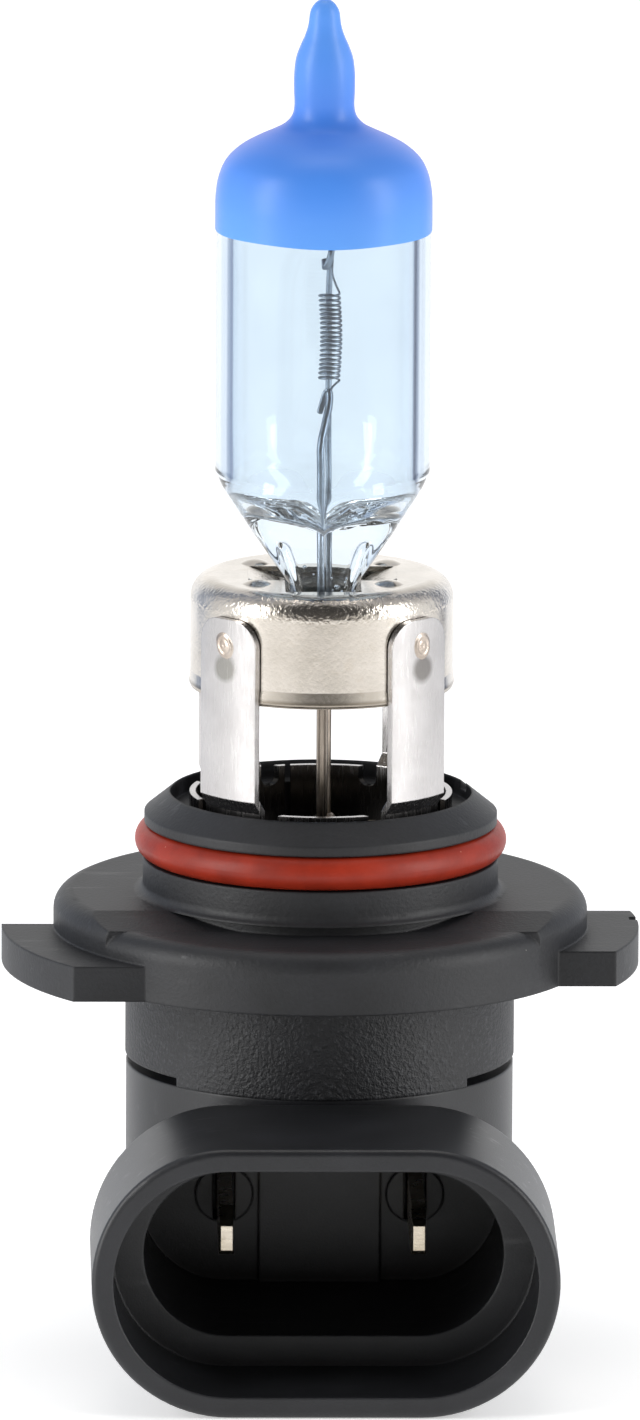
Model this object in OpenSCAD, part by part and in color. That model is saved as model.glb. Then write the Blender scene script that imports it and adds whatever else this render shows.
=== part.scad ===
// Halogen headlight bulb with a right-angle plug socket, built as the real one is assembled.
// +Z runs up the bulb's axis to the glass tip. The socket's mouth faces -Y.
// The origin is on the axis, in the plane of the raised face that seats against the lamp.

/* [Glass] */
// Outer diameter of the glass tube
glass_d = 12; // [11.2:0.1:13]
// Wall of the glass tube
glass_wall = 0.95; // [0.7:0.05:1.2]
// Height at which the tube ends and the domed top begins
glass_shoulder_z = 39.5; // [38:0.5:44]
// Rounding of the domed top
dome_r = 4; // [3:0.1:4.5]
// Diameter of the sealed exhaust tip
tip_d = 3.5; // [2.6:0.1:4]
// Length of the exhaust tip above the dome
tip_l = 7.1; // [5:0.1:9]
// Height at which the tube starts to narrow into the pinch
glass_base_z = 24.3; // [23.5:0.1:26]
// Radius of the curve along which the glass narrows
taper_r = 10.1; // [9:0.1:12]
// Thickness of the pinch seal, across X
pinch_t = 3.7; // [3:0.1:4.2]
// Width of the pinch seal, across Y
pinch_w = 10; // [8.5:0.1:10.8]
// Height of the pinch seal's lower end
pinch_bottom_z = 12.8; // [12:0.1:15]
// Thickness of the blue coating on the dome
coating_t = 0.08; // [0.05:0.01:0.15]
// Height of the coating's lower edge
coating_z = 37.7; // [33:0.1:38.5]

/* [Filament and leads] */
// Height of the filament's centre above the seat, which is the lamp's light centre length
filament_z = 31.5; // [30:0.1:33]
// Length of the coiled filament
coil_l = 5; // [4:0.1:6]
// Outer diameter of the filament's coil
coil_d = 1.28; // [1:0.02:1.6]
// Diameter of the filament wire
coil_wire = 0.16; // [0.1:0.01:0.2]
// Turns of the filament
coil_turns = 19; // [12:1:20]
// Sideways offset of the filament from the axis
coil_x = 0.3; // [0:0.05:0.4]
// Distance between the two leads, along Y
lead_spacing = 5; // [4:0.1:6]
// Diameter of the long lead that carries the filament's upper end
support_lead_d = 0.34; // [0.25:0.01:0.45]
// Diameter of the short lead that carries the filament's lower end
short_lead_d = 0.42; // [0.3:0.01:0.5]
// Diameter of the nickel leads below the pinch
outer_lead_d = 0.62; // [0.5:0.01:0.8]

/* [Retainer cup] */
// Outer diameter of the cup that grips the pinch
cup_d = 14.7; // [14:0.1:15.5]
// Height of the cup's flat top
cup_top_z = 18; // [17:0.1:19]
// Depth of the cup
cup_h = 6.25; // [5:0.1:7]
// Sheet thickness of the cup
cup_wall = 0.3; // [0.2:0.05:0.4]
// Rounding between the cup's top and its side
cup_round = 1.25; // [0.8:0.05:1.6]
// Width of each spring tongue that presses on the pinch
tongue_w = 3.4; // [2:0.1:4]
// Clearance of the cup's slot around the pinch
pinch_gap = 0.25; // [0.1:0.05:0.4]

/* [Mounting bracket] */
// Width of each bracket leg
leg_w = 4.2; // [3:0.1:5]
// Sheet thickness of the bracket
leg_t = 0.35; // [0.25:0.05:0.5]
// Height of the rounded leg ends
leg_top_z = 16.5; // [14:0.1:16.8]
// Height at which the legs are joggled outwards
leg_bend_z = 6.3; // [6.1:0.1:8]
// Height of the ring's upper edge
ring_top_z = 5.6; // [5:0.1:5.8]
// Diameter of a weld nugget on a leg
weld_d = 1.3; // [0.8:0.1:1.8]

/* [Base] */
// Diameter of the collar that fills the lamp's hole
collar_d = 19.9; // [19:0.05:21]
// Diameter of the collar's land above the seal ring
land_d = 19.75; // [18.8:0.05:20.8]
// Height of the collar above the seat
collar_h = 5.6; // [5.3:0.1:6.5]
// Diameter of the collar's open well at its mouth
well_d = 16.9; // [16.4:0.1:17.4]
// Height of the well's floor above the seat
floor_z = 2.4; // [2:0.1:3]
// Outer diameter of the seal ring
o_ring_od = 20.8; // [20.2:0.1:22]
// Thickness of the seal ring's cord
o_ring_t = 1.9; // [1.6:0.1:2]
// Height of the seal ring's centre
o_ring_z = 2.9; // [2.6:0.1:3.1]
// Diameter of the round flange
flange_d = 29.9; // [27:0.1:32]
// Thickness of the flange
flange_t = 4.04; // [3.4:0.02:5]
// How far the front of the flange lies below the seat
flange_step = 0.57; // [0.3:0.01:0.9]
// Radius of the locking tabs' outer edge
tab_r = 17.85; // [17:0.05:20]
// Thickness of the locking tabs
tab_t = 1.99; // [1.5:0.01:2.4]
// Diameter of the neck below the flange
neck_d = 21.8; // [21:0.1:23]
// Length of the neck below the flange
neck_l = 5.7; // [4.5:0.1:7]

/* [Plug socket] */
// Gap between the neck's lower edge and the socket below it
socket_gap = 0.06; // [0.05:0.01:3]
// Distance of the socket's mouth from the bulb's axis
socket_reach = 23; // [21:0.1:26]
// Outer width of the socket's shroud
shroud_w = 25.9; // [24.5:0.1:27.5]
// Outer height of the socket's shroud
shroud_h = 15.2; // [13.8:0.1:16]
// Wall of the shroud
shroud_wall = 1.2; // [0.9:0.05:1.4]
// Depth of the shroud's wide mouth
mouth_depth = 7.5; // [5:0.1:9]
// Step from the wide mouth to the inner cavity
ledge = 1.75; // [1:0.05:2]
// Distance of the cavity's end wall from the bulb's axis
end_wall_y = 2; // [1.5:0.1:3]
// Distance between the two contact blades
blade_pitch = 10.7; // [10:0.1:11]
// How far the contact blades lie above the socket's centre line
blade_lift = 0.3; // [0:0.05:0.5]
// Thickness of a contact blade
blade_t = 0.8; // [0.6:0.05:1]
// Height of a contact blade
blade_h = 2.8; // [2.2:0.1:3]
// Distance of the blades' tips from the bulb's axis
blade_tip_y = 13; // [11:0.1:15]

/* [Hidden] */
$fn = 64;
eps = 0.01;            // overlap that makes a cut clean
snug = 0.01;           // clearance between pieces that are moulded or sealed together

// Glass
glass_r = glass_d / 2;
dome_top_z = glass_shoulder_z + dome_r;
bore_r = glass_r - glass_wall;
taper_rise = 2.2;      // height of the narrowing curve's centre above its start
taper_x = sqrt(taper_r * taper_r - taper_rise * taper_rise) - glass_r;
pinch_top_z = glass_base_z - 3;
chamber_z = 20.7;      // lowest point of the sealed chamber
chamber_side_z = 23;   // height at which the chamber's wall turns in
chamber_foot_r = 0.6;
tip_end_r = 1.05;      // radius of the exhaust tip's round end
tip_fillet = 0.6;

// Leads
front_y = -lead_spacing / 2;
rear_y = lead_spacing / 2;
rear_x = coil_x;       // the long lead runs up right behind the filament
coil_r = (coil_d - coil_wire) / 2;
coil_top_z = filament_z + coil_l / 2;
coil_bottom_z = filament_z - coil_l / 2;
coil_steps = 12;       // points along one turn of the filament
coil_sides = 6;        // sides of the filament wire
coil_bow = 0.12;       // sag of the coil's middle
tail_l = 1.5;          // length of the filament's upper tail
hook_y = 0.65;         // how far behind the axis the long lead's hook stands
hook_rise = 2.4;       // height of that hook above the coil
short_bend = 3.6;      // where the short lead starts to lean in, below the coil
short_end_y = -0.75;   // how far in front of the axis the short lead ends
lead_weld_r = 0.7;
splice_z = pinch_bottom_z - 0.5;  // where the inner leads meet the nickel ones

// Retainer cup
cup_r = cup_d / 2;
cup_bottom_z = cup_top_z - cup_h;
lip_out = 0.07;        // flare of the cup's rolled edge
lip_round = 0.22;      // radius of the rolled edge
lip_h = 0.9;           // height over which the flare runs out
slot_x = pinch_t / 2 + pinch_gap;
slot_y = pinch_w / 2 + pinch_gap;
hinge_x = slot_x + 1.9; // where a tongue turns down
slit = 0.3;            // width of the slits beside a tongue
bump_r = 1.6;          // radius of the pressed bumps beside the slits
bump_rise = 0.22;
bump_x = slot_x + 1.6;
bump_y = tongue_w / 2 + slit + 0.9;
tongue_drop = 18;      // angle by which a tongue is bent down

// Mounting bracket
leg_in = cup_r + lip_out + 0.02;
leg_out = leg_in + leg_t;
ring_out = 7.35;
ring_in = ring_out - leg_t;
ring_root = 1;         // depth to which the ring is moulded into the floor
leg_corner = 1.5;
relief_w = 1;          // width of the round relief beside each leg's root
relief_depth = 1.1;
seam_x = -1.9;         // place of the ring's butt seam, in the rear stretch
weld_z = leg_top_z - 1.5;
weld_proud = 0.06;

// Base
collar_r = collar_d / 2;
land_r = land_d / 2;
well_r = well_d / 2;
groove_r = o_ring_od / 2 - o_ring_t;
groove_h = o_ring_t + 0.1;
bevel_h = 1.15;        // height of the collar's lead-in bevel
ledge_z = collar_h - 1;
inner_r = ring_out + snug;
seat_fillet = 0.5;
flange_round = 1.1;
flange_r = flange_d / 2;
step_back_y = -5.9;    // the seat's step starts here and
step_front_y = -8.8;   // ends here, in front of the axis
left_tab = [-11.2, 0]; // front and back edges of the left tab, of the right one,
right_tab = [-7.1, 3.6];
rear_tab = [-4.6, 4.6]; // and side edges of the rear one
key_y = 1.2;           // small key notch in the right tab's edge
key_w = 0.7;
key_depth = 0.5;
neck_r = neck_d / 2;
neck_bottom_z = -flange_t - neck_l;
neck_step_x = 8.1;     // beyond this distance from the axis, on both sides, the neck's
neck_step_h = 0.48;    // lower edge is stepped up by this much
rim_notch_w = 1;       // notch in the collar's rim
rim_notch_h = 0.5;
rim_notch_turn = 18;
plug_r = 9.4;          // radius of the housing's plug inside the neck
web_z = -1;            // underside of the web that closes the collar
plug_top_z = -3.5;

// Plug socket
shroud_r = shroud_h / 2;
half_flat = shroud_w / 2 - shroud_r;
tail_r = neck_r - half_flat;      // the shroud's rear part is as wide as the neck
socket_z = neck_bottom_z - socket_gap - max(shroud_r, tail_r);
mouth_r = shroud_r - shroud_wall;
cavity_r = mouth_r - ledge;
shroud_back_y = neck_r - 0.1;     // where the wide shroud begins, in front of the axis
rim_round = 0.35;      // rounding of the shroud's outer rim
back_round = 1;        // rounding where the wide shroud begins
body_depth = 6.3;      // from the socket's centre line down to the body's lower face
body_bottom_z = socket_z - body_depth;
land_y = 0.5;          // how far the land between the blades stands out
land_w = 6.8;
land_notch_x = 2;      // places of the two notches in the land's upper edge
land_notch_r = 0.75;
blade_x = blade_pitch / 2;
blade_z = socket_z + blade_lift;
tip_taper = 2.2;       // length of a blade's tapered tip
tip_h = 1.4;
tip_t = 0.66;
riser_y = 1.5;         // rear face of a terminal's riser
riser_w = 2.8;
tab_w = 1.6;
bush_r = 1.6;
bush_proud = 0.2;      // how far a bush stands out of the end wall
bush_l = end_wall_y + bush_proud;
bush_slot = 1.2;
cap_w = 13.6;          // bottom cap, across X
cap_front_y = -1.4;
cap_back_y = 7.4;
cap_corner = 2.5;
cap_t = 1.4;
cap_ledge = 0.8;       // rim of the pocket on which the cap sits
pocket_h = 2;

// ---- shared shapes ----

// Half profile of a round body from z0 to z1, with its top outer edge rounded by c
module round_top(r, z0, z1, c) {
    intersection() {
        translate([0, z0]) square([r, z1 - z0]);
        union() {
            translate([0, z0]) square([r, z1 - z0 - c]);
            translate([0, z0]) square([r - c, z1 - z0]);
            translate([r - c, z1 - c]) circle(c);
        }
    }
}

// Concave fillet of radius c that fills the corner at (x, z), outwards and upwards
module fillet_at(x, z, c) {
    translate([x, z]) difference() {
        translate([-eps, -eps]) square(c + eps);
        translate([c, c]) circle(c);
    }
}

// Round wire of diameter d through the points, with a slightly fuller ball at each bend
module wire(points, d) {
    for (i = [0 : len(points) - 2]) {
        step = points[i + 1] - points[i];
        translate(points[i])
            rotate([0, acos(step.z / norm(step)), atan2(step.y, step.x)])
                cylinder(h = norm(step), d = d);
    }
    for (i = [1 : 1 : len(points) - 2]) translate(points[i]) sphere(d = 1.06 * d);
}

// Copies of a shape that faces +X, at the four legs
module at_legs() {
    for (a = [45 : 90 : 315]) rotate(a) children();
}

// Tube of stadium section along -Y: a profile of (radius, distance in front of the axis)
// is turned round both ends and drawn straight between them
module stadium(half) {
    translate([0, 0, socket_z]) rotate([90, 0, 0]) {
        for (side = [-1, 1]) translate([side * half, 0, 0]) rotate_extrude() children();
        for (side = [0, 180]) rotate(side)
            translate([-half, 0, 0]) rotate([90, 0, 90]) linear_extrude(2 * half) children();
    }
}

function unit(v) = v / norm(v);

// ---- glass ----

// Outline of the exhaust tip: a slightly bellied shaft that closes in to a round end
module tip_profile() {
    shaft_r = tip_d / 2;
    end_z = dome_top_z + tip_l - tip_end_r;
    shaft = [
        for (t = [0 : 0.1 : 1])
            let (close = (1 - cos(180 * max(0, 2 * t - 1))) / 2)
            [shaft_r * (0.97 + 0.03 * sin(180 * min(1, 1.4 * t))) * (1 - close) + tip_end_r * close,
             dome_top_z - 1 + t * (end_z - dome_top_z + 1)]
    ];
    polygon(concat([[0, dome_top_z - 1]], shaft, [[0, end_z]]));
    intersection() {
        translate([0, end_z]) circle(tip_end_r);
        translate([0, end_z - tip_end_r]) square(2 * tip_end_r);
    }
    fillet_at(shaft_r * 0.97, dome_top_z, tip_fillet);
}

// Pinch seal: the tube narrows along two arcs in front view and is pressed to its width in side view
module pinch_solid() {
    intersection() {
        rotate([90, 0, 0]) linear_extrude(glass_d, center = true) {
            intersection_for (side = [-1, 1])
                translate([side * taper_x, glass_base_z + taper_rise]) circle(taper_r, $fn = 128);
            translate([-pinch_t / 2, pinch_bottom_z])
                square([pinch_t, glass_base_z - pinch_bottom_z]);
        }
        rotate([90, 0, 90]) linear_extrude(glass_d, center = true) polygon([
            [-glass_r, glass_base_z + eps], [glass_r, glass_base_z + eps],
            [pinch_w / 2, pinch_top_z], [pinch_w / 2, pinch_bottom_z],
            [-pinch_w / 2, pinch_bottom_z], [-pinch_w / 2, pinch_top_z]
        ]);
        translate([0, 0, pinch_bottom_z]) cylinder(h = glass_base_z - pinch_bottom_z + eps, r = glass_r);
    }
}

module glass_envelope() {
    color([0.85, 0.94, 1, 0.35]) difference() {
        union() {
            rotate_extrude() {
                round_top(glass_r, glass_base_z, dome_top_z, dome_r);
                tip_profile();
            }
            pinch_solid();
        }
        rotate_extrude() {
            round_top(bore_r, chamber_side_z, dome_top_z - glass_wall, dome_r - glass_wall);
            polygon([
                [0, chamber_z], [chamber_foot_r, chamber_z],
                [bore_r, chamber_side_z], [0, chamber_side_z + eps]
            ]);
        }
        support_lead_route(support_lead_d + 2 * snug);
        short_lead_route(short_lead_d + 2 * snug);
    }
}

module blue_coating() {
    color([0.3, 0.55, 0.95, 0.9]) difference() {
        rotate_extrude() {
            round_top(glass_r + coating_t, coating_z, dome_top_z + coating_t, dome_r + coating_t);
        }
        rotate_extrude() {
            round_top(glass_r, coating_z - 1, dome_top_z, dome_r);
            translate([0, glass_shoulder_z]) square([tip_d / 2 * 0.97 + tip_fillet, dome_r + 1]);
        }
    }
}

// ---- filament and leads ----

// Centre line of the filament: lower tail, helix, upper tail
function coil_points() = concat(
    [[coil_x - 0.1, -0.35, coil_bottom_z - 0.9], [coil_x + 0.1, -0.2, coil_bottom_z - 0.4]],
    [for (i = [0 : coil_turns * coil_steps])
        let (a = 360 * i / coil_steps, t = i / (coil_turns * coil_steps))
        [coil_x + coil_bow * sin(180 * t) + coil_r * cos(a), coil_r * sin(a),
         coil_bottom_z + coil_wire / 2 + t * (coil_l - coil_wire)]],
    [[coil_x + 0.15, 0.2, coil_top_z + 0.5], [coil_x + 0.1, 0.2, coil_top_z + tail_l]]
);

// Normals carried along the tangents without twist
function carried(tangents, normal, i = 0) =
    i == len(tangents) ? [] :
    let (n = unit(normal - (normal * tangents[i]) * tangents[i]))
    concat([n], carried(tangents, n, i + 1));

module filament_coil() {
    p = coil_points();
    last = len(p) - 1;
    tangents = [for (i = [0 : last]) unit(p[min(i + 1, last)] - p[max(i - 1, 0)])];
    normals = carried(tangents, [0, 1, 0.2]);
    rings = [
        for (i = [0 : last], k = [0 : coil_sides - 1])
            let (a = 360 * k / coil_sides)
            p[i] + coil_wire / 2 * (cos(a) * normals[i] + sin(a) * cross(tangents[i], normals[i]))
    ];
    sides = [
        for (i = [0 : last - 1], k = [0 : coil_sides - 1])
            let (a = i * coil_sides + k, b = i * coil_sides + (k + 1) % coil_sides)
            each [[a, a + coil_sides, b], [b, a + coil_sides, b + coil_sides]]
    ];
    ends = [
        [for (k = [0 : coil_sides - 1]) k],
        [for (k = [coil_sides - 1 : -1 : 0]) last * coil_sides + k]
    ];
    color([0.45, 0.46, 0.5]) polyhedron(concat(rings), concat(sides, ends));
}

// Long lead: up beside the filament, over its top, and folded back to clamp the upper tail
module support_lead_route(d) {
    wire([
        [rear_x, rear_y, splice_z], [rear_x, rear_y, coil_top_z + 0.9],
        [rear_x + 0.1, 2 * hook_y, coil_top_z + hook_rise - 0.5],
        [rear_x + 0.15, hook_y, coil_top_z + hook_rise],
        [rear_x - 0.15, hook_y - 0.15, coil_top_z + hook_rise - 0.6]
    ], d);
}

module support_lead() {
    color([0.62, 0.65, 0.7]) support_lead_route(support_lead_d);
}

// Short lead: bent in under the filament, and folded back to clamp the lower tail
module short_lead_route(d) {
    wire([
        [0, front_y, splice_z], [0, front_y, coil_bottom_z - short_bend],
        [coil_x - 0.1, 1.6 * short_end_y, coil_bottom_z - 2],
        [coil_x - 0.05, short_end_y, coil_bottom_z - 0.6],
        [coil_x - 0.5, short_end_y - 0.1, coil_bottom_z - 1.8]
    ], d);
}

module short_lead() {
    color([0.6, 0.62, 0.68]) short_lead_route(short_lead_d);
}

module outer_lead(x, y) {
    color([0.6, 0.57, 0.52])
        translate([x, y, floor_z]) cylinder(h = splice_z - floor_z, d = outer_lead_d);
}

module outer_lead_front() outer_lead(0, front_y);
module outer_lead_rear() outer_lead(rear_x, rear_y);

// ---- retainer cup and bracket ----

// Spring tongue on the +X side, bent down until its end rests on the pinch
module tongue() {
    reach = (hinge_x - pinch_t / 2 - 2 * snug - cup_wall * sin(tongue_drop)) / cos(tongue_drop);
    translate([hinge_x, 0, cup_top_z - cup_wall / 2]) rotate([0, -tongue_drop, 0])
        translate([-reach, -tongue_w / 2, -cup_wall / 2]) cube([reach + 0.2, tongue_w, cup_wall]);
}

module retainer_cup() {
    color([0.83, 0.8, 0.75]) {
        difference() {
            union() {
                rotate_extrude() {
                    round_top(cup_r, cup_bottom_z, cup_top_z, cup_round);
                    translate([cup_r + lip_out - lip_round, cup_bottom_z + lip_round]) circle(lip_round);
                    polygon([
                        [0, cup_bottom_z], [cup_r + lip_out - lip_round, cup_bottom_z],
                        [cup_r + lip_out, cup_bottom_z + lip_round], [cup_r, cup_bottom_z + lip_h],
                        [0, cup_bottom_z + lip_h]
                    ]);
                }
                for (side = [-1, 1], y = [-1, 1])
                    translate([side * bump_x, y * bump_y, cup_top_z + bump_rise - bump_r])
                        sphere(bump_r);
            }
            rotate_extrude() intersection() {
                round_top(cup_r - cup_wall, cup_bottom_z - 1, cup_top_z - cup_wall, cup_round - cup_wall);
                square([cup_r, cup_top_z]);
            }
            // slot for the pinch, widened on both sides for a tongue and its slits
            translate([-slot_x, -slot_y, cup_top_z - 1]) cube([2 * slot_x, 2 * slot_y, 2]);
            translate([-hinge_x, -tongue_w / 2 - slit, cup_top_z - 1])
                cube([2 * hinge_x, tongue_w + 2 * slit, 2]);
        }
        for (turn = [0, 180]) rotate(turn) tongue();
    }
}

// Upright outline of a leg, round-cornered at its top, as wide as its sheet
module leg_outline() {
    translate([-leg_w / 2, ring_top_z - 1]) square([leg_w, leg_top_z - leg_corner - ring_top_z + 1]);
    translate([-leg_w / 2 + leg_corner, ring_top_z])
        square([leg_w - 2 * leg_corner, leg_top_z - ring_top_z]);
    for (side = [-1, 1])
        translate([side * (leg_w / 2 - leg_corner), leg_top_z - leg_corner]) circle(leg_corner);
}

module mounting_bracket() {
    color([0.85, 0.85, 0.86]) {
        // ring, with a relief on both sides of every leg and one butt seam
        difference() {
            translate([0, 0, floor_z - ring_root]) rotate_extrude()
                translate([ring_in, 0]) square([leg_t, ring_top_z - floor_z + ring_root]);
            at_legs() for (side = [-1, 1])
                translate([ring_in - 1, side * (leg_w + relief_w) / 2, ring_top_z - relief_depth]) {
                    translate([0, 0, relief_w / 2]) rotate([0, 90, 0]) cylinder(h = 2, d = relief_w);
                    translate([0, -relief_w / 2, relief_w / 2]) cube([2, relief_w, 2]);
                }
            translate([seam_x, 0, floor_z]) cube([0.3, ring_out + 1, 4]);
        }
        // legs, joggled outwards to clear the cup
        intersection() {
            rotate_extrude() polygon([
                [ring_in, ring_top_z - 1], [ring_out, ring_top_z - 1], [ring_out, ring_top_z],
                [leg_out, leg_bend_z], [leg_out, leg_top_z + 1], [leg_in, leg_top_z + 1],
                [leg_in, leg_bend_z + 0.1], [ring_in, ring_top_z + 0.1]
            ]);
            at_legs() rotate([90, 0, 90]) linear_extrude(leg_out + 1) leg_outline();
        }
    }
}

module spot_welds() {
    color([0.75, 0.73, 0.7]) intersection() {
        rotate_extrude() translate([leg_out, leg_bend_z])
            square([weld_proud, leg_top_z - leg_bend_z]);
        at_legs() translate([leg_in, 0, weld_z]) rotate([0, 90, 0]) cylinder(h = 2, d = weld_d);
    }
}

// ---- base ----

// One flange plate with its top at z, rounded at the rim
module flange_plate(z) {
    rotate_extrude() round_top(flange_r, -flange_t, z, flange_round);
}

module flange() {
    flange_plate(-flange_step);
    intersection() {
        flange_plate(0);
        // the raised part: flat behind, with a hollow slope down to the front
        rotate([90, 0, 90]) linear_extrude(flange_d, center = true) difference() {
            translate([step_front_y, -flange_t]) square([flange_d, flange_t]);
            translate([step_front_y, -flange_step])
                polygon([[0, 0], [step_back_y - step_front_y, flange_step], [0, flange_step + 1]]);
        }
    }
}

// Tab between two lines across Y, from the flange out to the tabs' circle, on the +X side
module tab(edges) {
    translate([0, 0, -flange_t]) linear_extrude(tab_t) intersection() {
        circle(tab_r);
        translate([flange_r / 2, edges[0]]) square([tab_r, edges[1] - edges[0]]);
    }
}

module tabs() {
    mirror([1, 0, 0]) tab(left_tab);
    difference() {
        tab(right_tab);
        translate([tab_r - key_depth, key_y, -flange_t - eps]) cube([1, key_w, tab_t + 1]);
    }
    rotate(90) tab(rear_tab);
}

module collar_profile() {
    difference() {
        union() {
            translate([0, -flange_t]) square([collar_r, flange_t + o_ring_z - groove_h / 2]);
            translate([0, 0]) square([land_r, collar_h - bevel_h]);
            polygon([
                [0, collar_h - bevel_h], [land_r, collar_h - bevel_h], [well_r, collar_h], [0, collar_h]
            ]);
            fillet_at(collar_r, 0, seat_fillet);
        }
        translate([groove_r, o_ring_z - groove_h / 2]) square([4, groove_h]);
    }
}

module base_body() {
    color([0.12, 0.12, 0.13]) difference() {
        union() {
            rotate_extrude() {
                collar_profile();
                translate([0, neck_bottom_z]) square([neck_r, neck_l + eps]);
            }
            flange();
            tabs();
        }
        // well, its ledge and the ring's slot in the floor
        translate([0, 0, ledge_z]) cylinder(h = 3, r = well_r);
        translate([0, 0, floor_z]) cylinder(h = 4, r = inner_r);
        translate([0, 0, floor_z - ring_root]) difference() {
            cylinder(h = 2, r = inner_r);
            translate([0, 0, -1]) cylinder(h = 4, r = ring_in - snug);
        }
        // bore that takes the housing's plug
        translate([0, 0, neck_bottom_z - 1]) cylinder(h = web_z - neck_bottom_z + 1, r = plug_r + snug);
        terminal_paths();
        // steps in the neck's lower edge, left and right, and a notch in the collar's rim
        for (turn = [0, 180]) rotate(turn) translate([neck_step_x, -neck_r, neck_bottom_z - 1])
            cube([neck_r, 2 * neck_r, neck_step_h + 1]);
        rotate(rim_notch_turn) translate([well_r - rim_notch_h, -rim_notch_w / 2, collar_h - rim_notch_h])
            cube([2 * rim_notch_h, rim_notch_w, 1]);
    }
}

module o_ring() {
    color([0.65, 0.18, 0.12])
        translate([0, 0, o_ring_z]) rotate_extrude()
            translate([groove_r + o_ring_t / 2, 0]) circle(d = o_ring_t);
}

// ---- plug socket ----

// Outer outline of the shroud: narrow at the rear, wide at the mouth, with rounded edges
module shroud_outline() {
    straight_y = shroud_back_y + back_round;
    square([tail_r, straight_y]);
    translate([0, shroud_back_y]) square([shroud_r - back_round, 2 * back_round]);
    translate([0, straight_y]) square([shroud_r, socket_reach - straight_y - rim_round]);
    intersection() {
        translate([shroud_r - back_round, straight_y]) circle(back_round);
        translate([0, shroud_back_y]) square([shroud_r, 2 * back_round]);
    }
    translate([0, socket_reach - 1]) square([shroud_r - rim_round, 1]);
    translate([shroud_r - rim_round, socket_reach - rim_round]) circle(rim_round);
}

// Inner outline: the wide mouth, the ledge and the cavity behind it
module cavity_outline() {
    translate([0, end_wall_y]) square([cavity_r, socket_reach]);
    translate([0, socket_reach - mouth_depth]) square([mouth_r, mouth_depth + 1]);
}

// The two terminals' slots through the mouldings
module terminal_paths() {
    for (side = [-1, 1]) terminal_solid(side, 2 * snug);
}

// Terminal: blade towards the mouth, riser up the housing, tab along the well's floor to its lead
module terminal_solid(side, gap = 0) {
    t = blade_t + gap;
    tab_y = side < 0 ? front_y : rear_y;
    lead_x = side < 0 ? 0 : rear_x;
    translate([side * blade_x - t / 2, -blade_tip_y, blade_z - blade_h / 2 - gap / 2])
        cube([t, blade_tip_y + riser_y, blade_h + gap]);
    translate([side * blade_x - t / 2, riser_y - riser_w, blade_z - blade_h / 2 - gap / 2])
        cube([t, riser_w, floor_z + blade_t - blade_z + blade_h / 2 + gap]);
    // foot of the tab, from the riser to its lead's line
    translate([side * blade_x - t / 2, min(tab_y - tab_w / 2, riser_y - riser_w), floor_z])
        cube([t, max(tab_y + tab_w / 2, riser_y) - min(tab_y - tab_w / 2, riser_y - riser_w), blade_t]);
    reach = abs(side * blade_x - lead_x) + tab_w / 2;
    translate([side < 0 ? -blade_x : blade_x - reach, tab_y - tab_w / 2, floor_z])
        cube([reach, tab_w, blade_t]);
}

// Tapered ends of a blade: everything outside this solid is ground away
module blade_grind(side) {
    y = -blade_tip_y;
    translate([side * blade_x, 0, 0]) rotate([90, 0, 90]) linear_extrude(4, center = true) polygon([
        [y, blade_z - tip_h / 2], [y + tip_taper, blade_z - blade_h / 2],
        [y + tip_taper, blade_z - 4], [y - 1, blade_z - 4],
        [y - 1, blade_z + 4], [y + tip_taper, blade_z + 4],
        [y + tip_taper, blade_z + blade_h / 2], [y, blade_z + tip_h / 2]
    ]);
    translate([side * blade_x, 0, blade_z]) linear_extrude(4, center = true)
        for (flip = [0, 1]) mirror([flip, 0]) polygon([
            [tip_t / 2, y], [blade_t / 2, y + tip_taper / 2], [2, y + tip_taper / 2],
            [2, y - 1], [tip_t / 2, y - 1]
        ]);
}

module terminal(side) {
    color([0.8, 0.78, 0.72]) difference() {
        terminal_solid(side);
        blade_grind(side);
        translate([side < 0 ? 0 : rear_x, side < 0 ? front_y : rear_y, floor_z - 1])
            cylinder(h = 3, d = outer_lead_d + 2 * snug);
    }
}

module terminal_left() terminal(-1);
module terminal_right() terminal(1);

module connector_housing() {
    color([0.1, 0.1, 0.11]) difference() {
        union() {
            translate([0, 0, body_bottom_z])
                cylinder(h = neck_bottom_z - body_bottom_z, r = neck_r - 0.05);
            translate([0, 0, neck_bottom_z - eps])
                cylinder(h = plug_top_z - neck_bottom_z + eps, r = plug_r);
            stadium(half_flat) shroud_outline();
        }
        difference() {
            stadium(half_flat) cavity_outline();
            // raised land between the blades, with two notches in its upper edge
            difference() {
                translate([-land_w / 2, -end_wall_y - land_y, socket_z - shroud_r])
                    cube([land_w, land_y + 1, shroud_h]);
                for (side = [-1, 1]) translate([side * land_notch_x, -end_wall_y, socket_z + cavity_r])
                    rotate([90, 0, 0]) cylinder(h = 3, r = land_notch_r, center = true);
            }
        }
        for (side = [-1, 1]) translate([side * blade_x, 0, blade_z]) rotate([90, 0, 0])
            cylinder(h = bush_l, r = bush_r + snug);
        terminal_paths();
        // pocket that gives access to the terminals' heels, and the seat of its cap
        translate([0, 0, body_bottom_z - 1]) linear_extrude(cap_t + 1) cap_outline(-snug);
        translate([0, 0, body_bottom_z]) linear_extrude(cap_t + pocket_h) cap_outline(cap_ledge);
    }
}

module terminal_bush(side) {
    color([0.16, 0.16, 0.17]) translate([side * blade_x, 0, blade_z]) rotate([90, 0, 0]) difference() {
        cylinder(h = bush_l, r = bush_r);
        translate([-bush_slot / 2, -blade_h / 2 - snug, -1])
            cube([bush_slot, blade_h + 2 * snug, bush_l + 2]);
    }
}

module terminal_bush_left() terminal_bush(-1);
module terminal_bush_right() terminal_bush(1);

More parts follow.
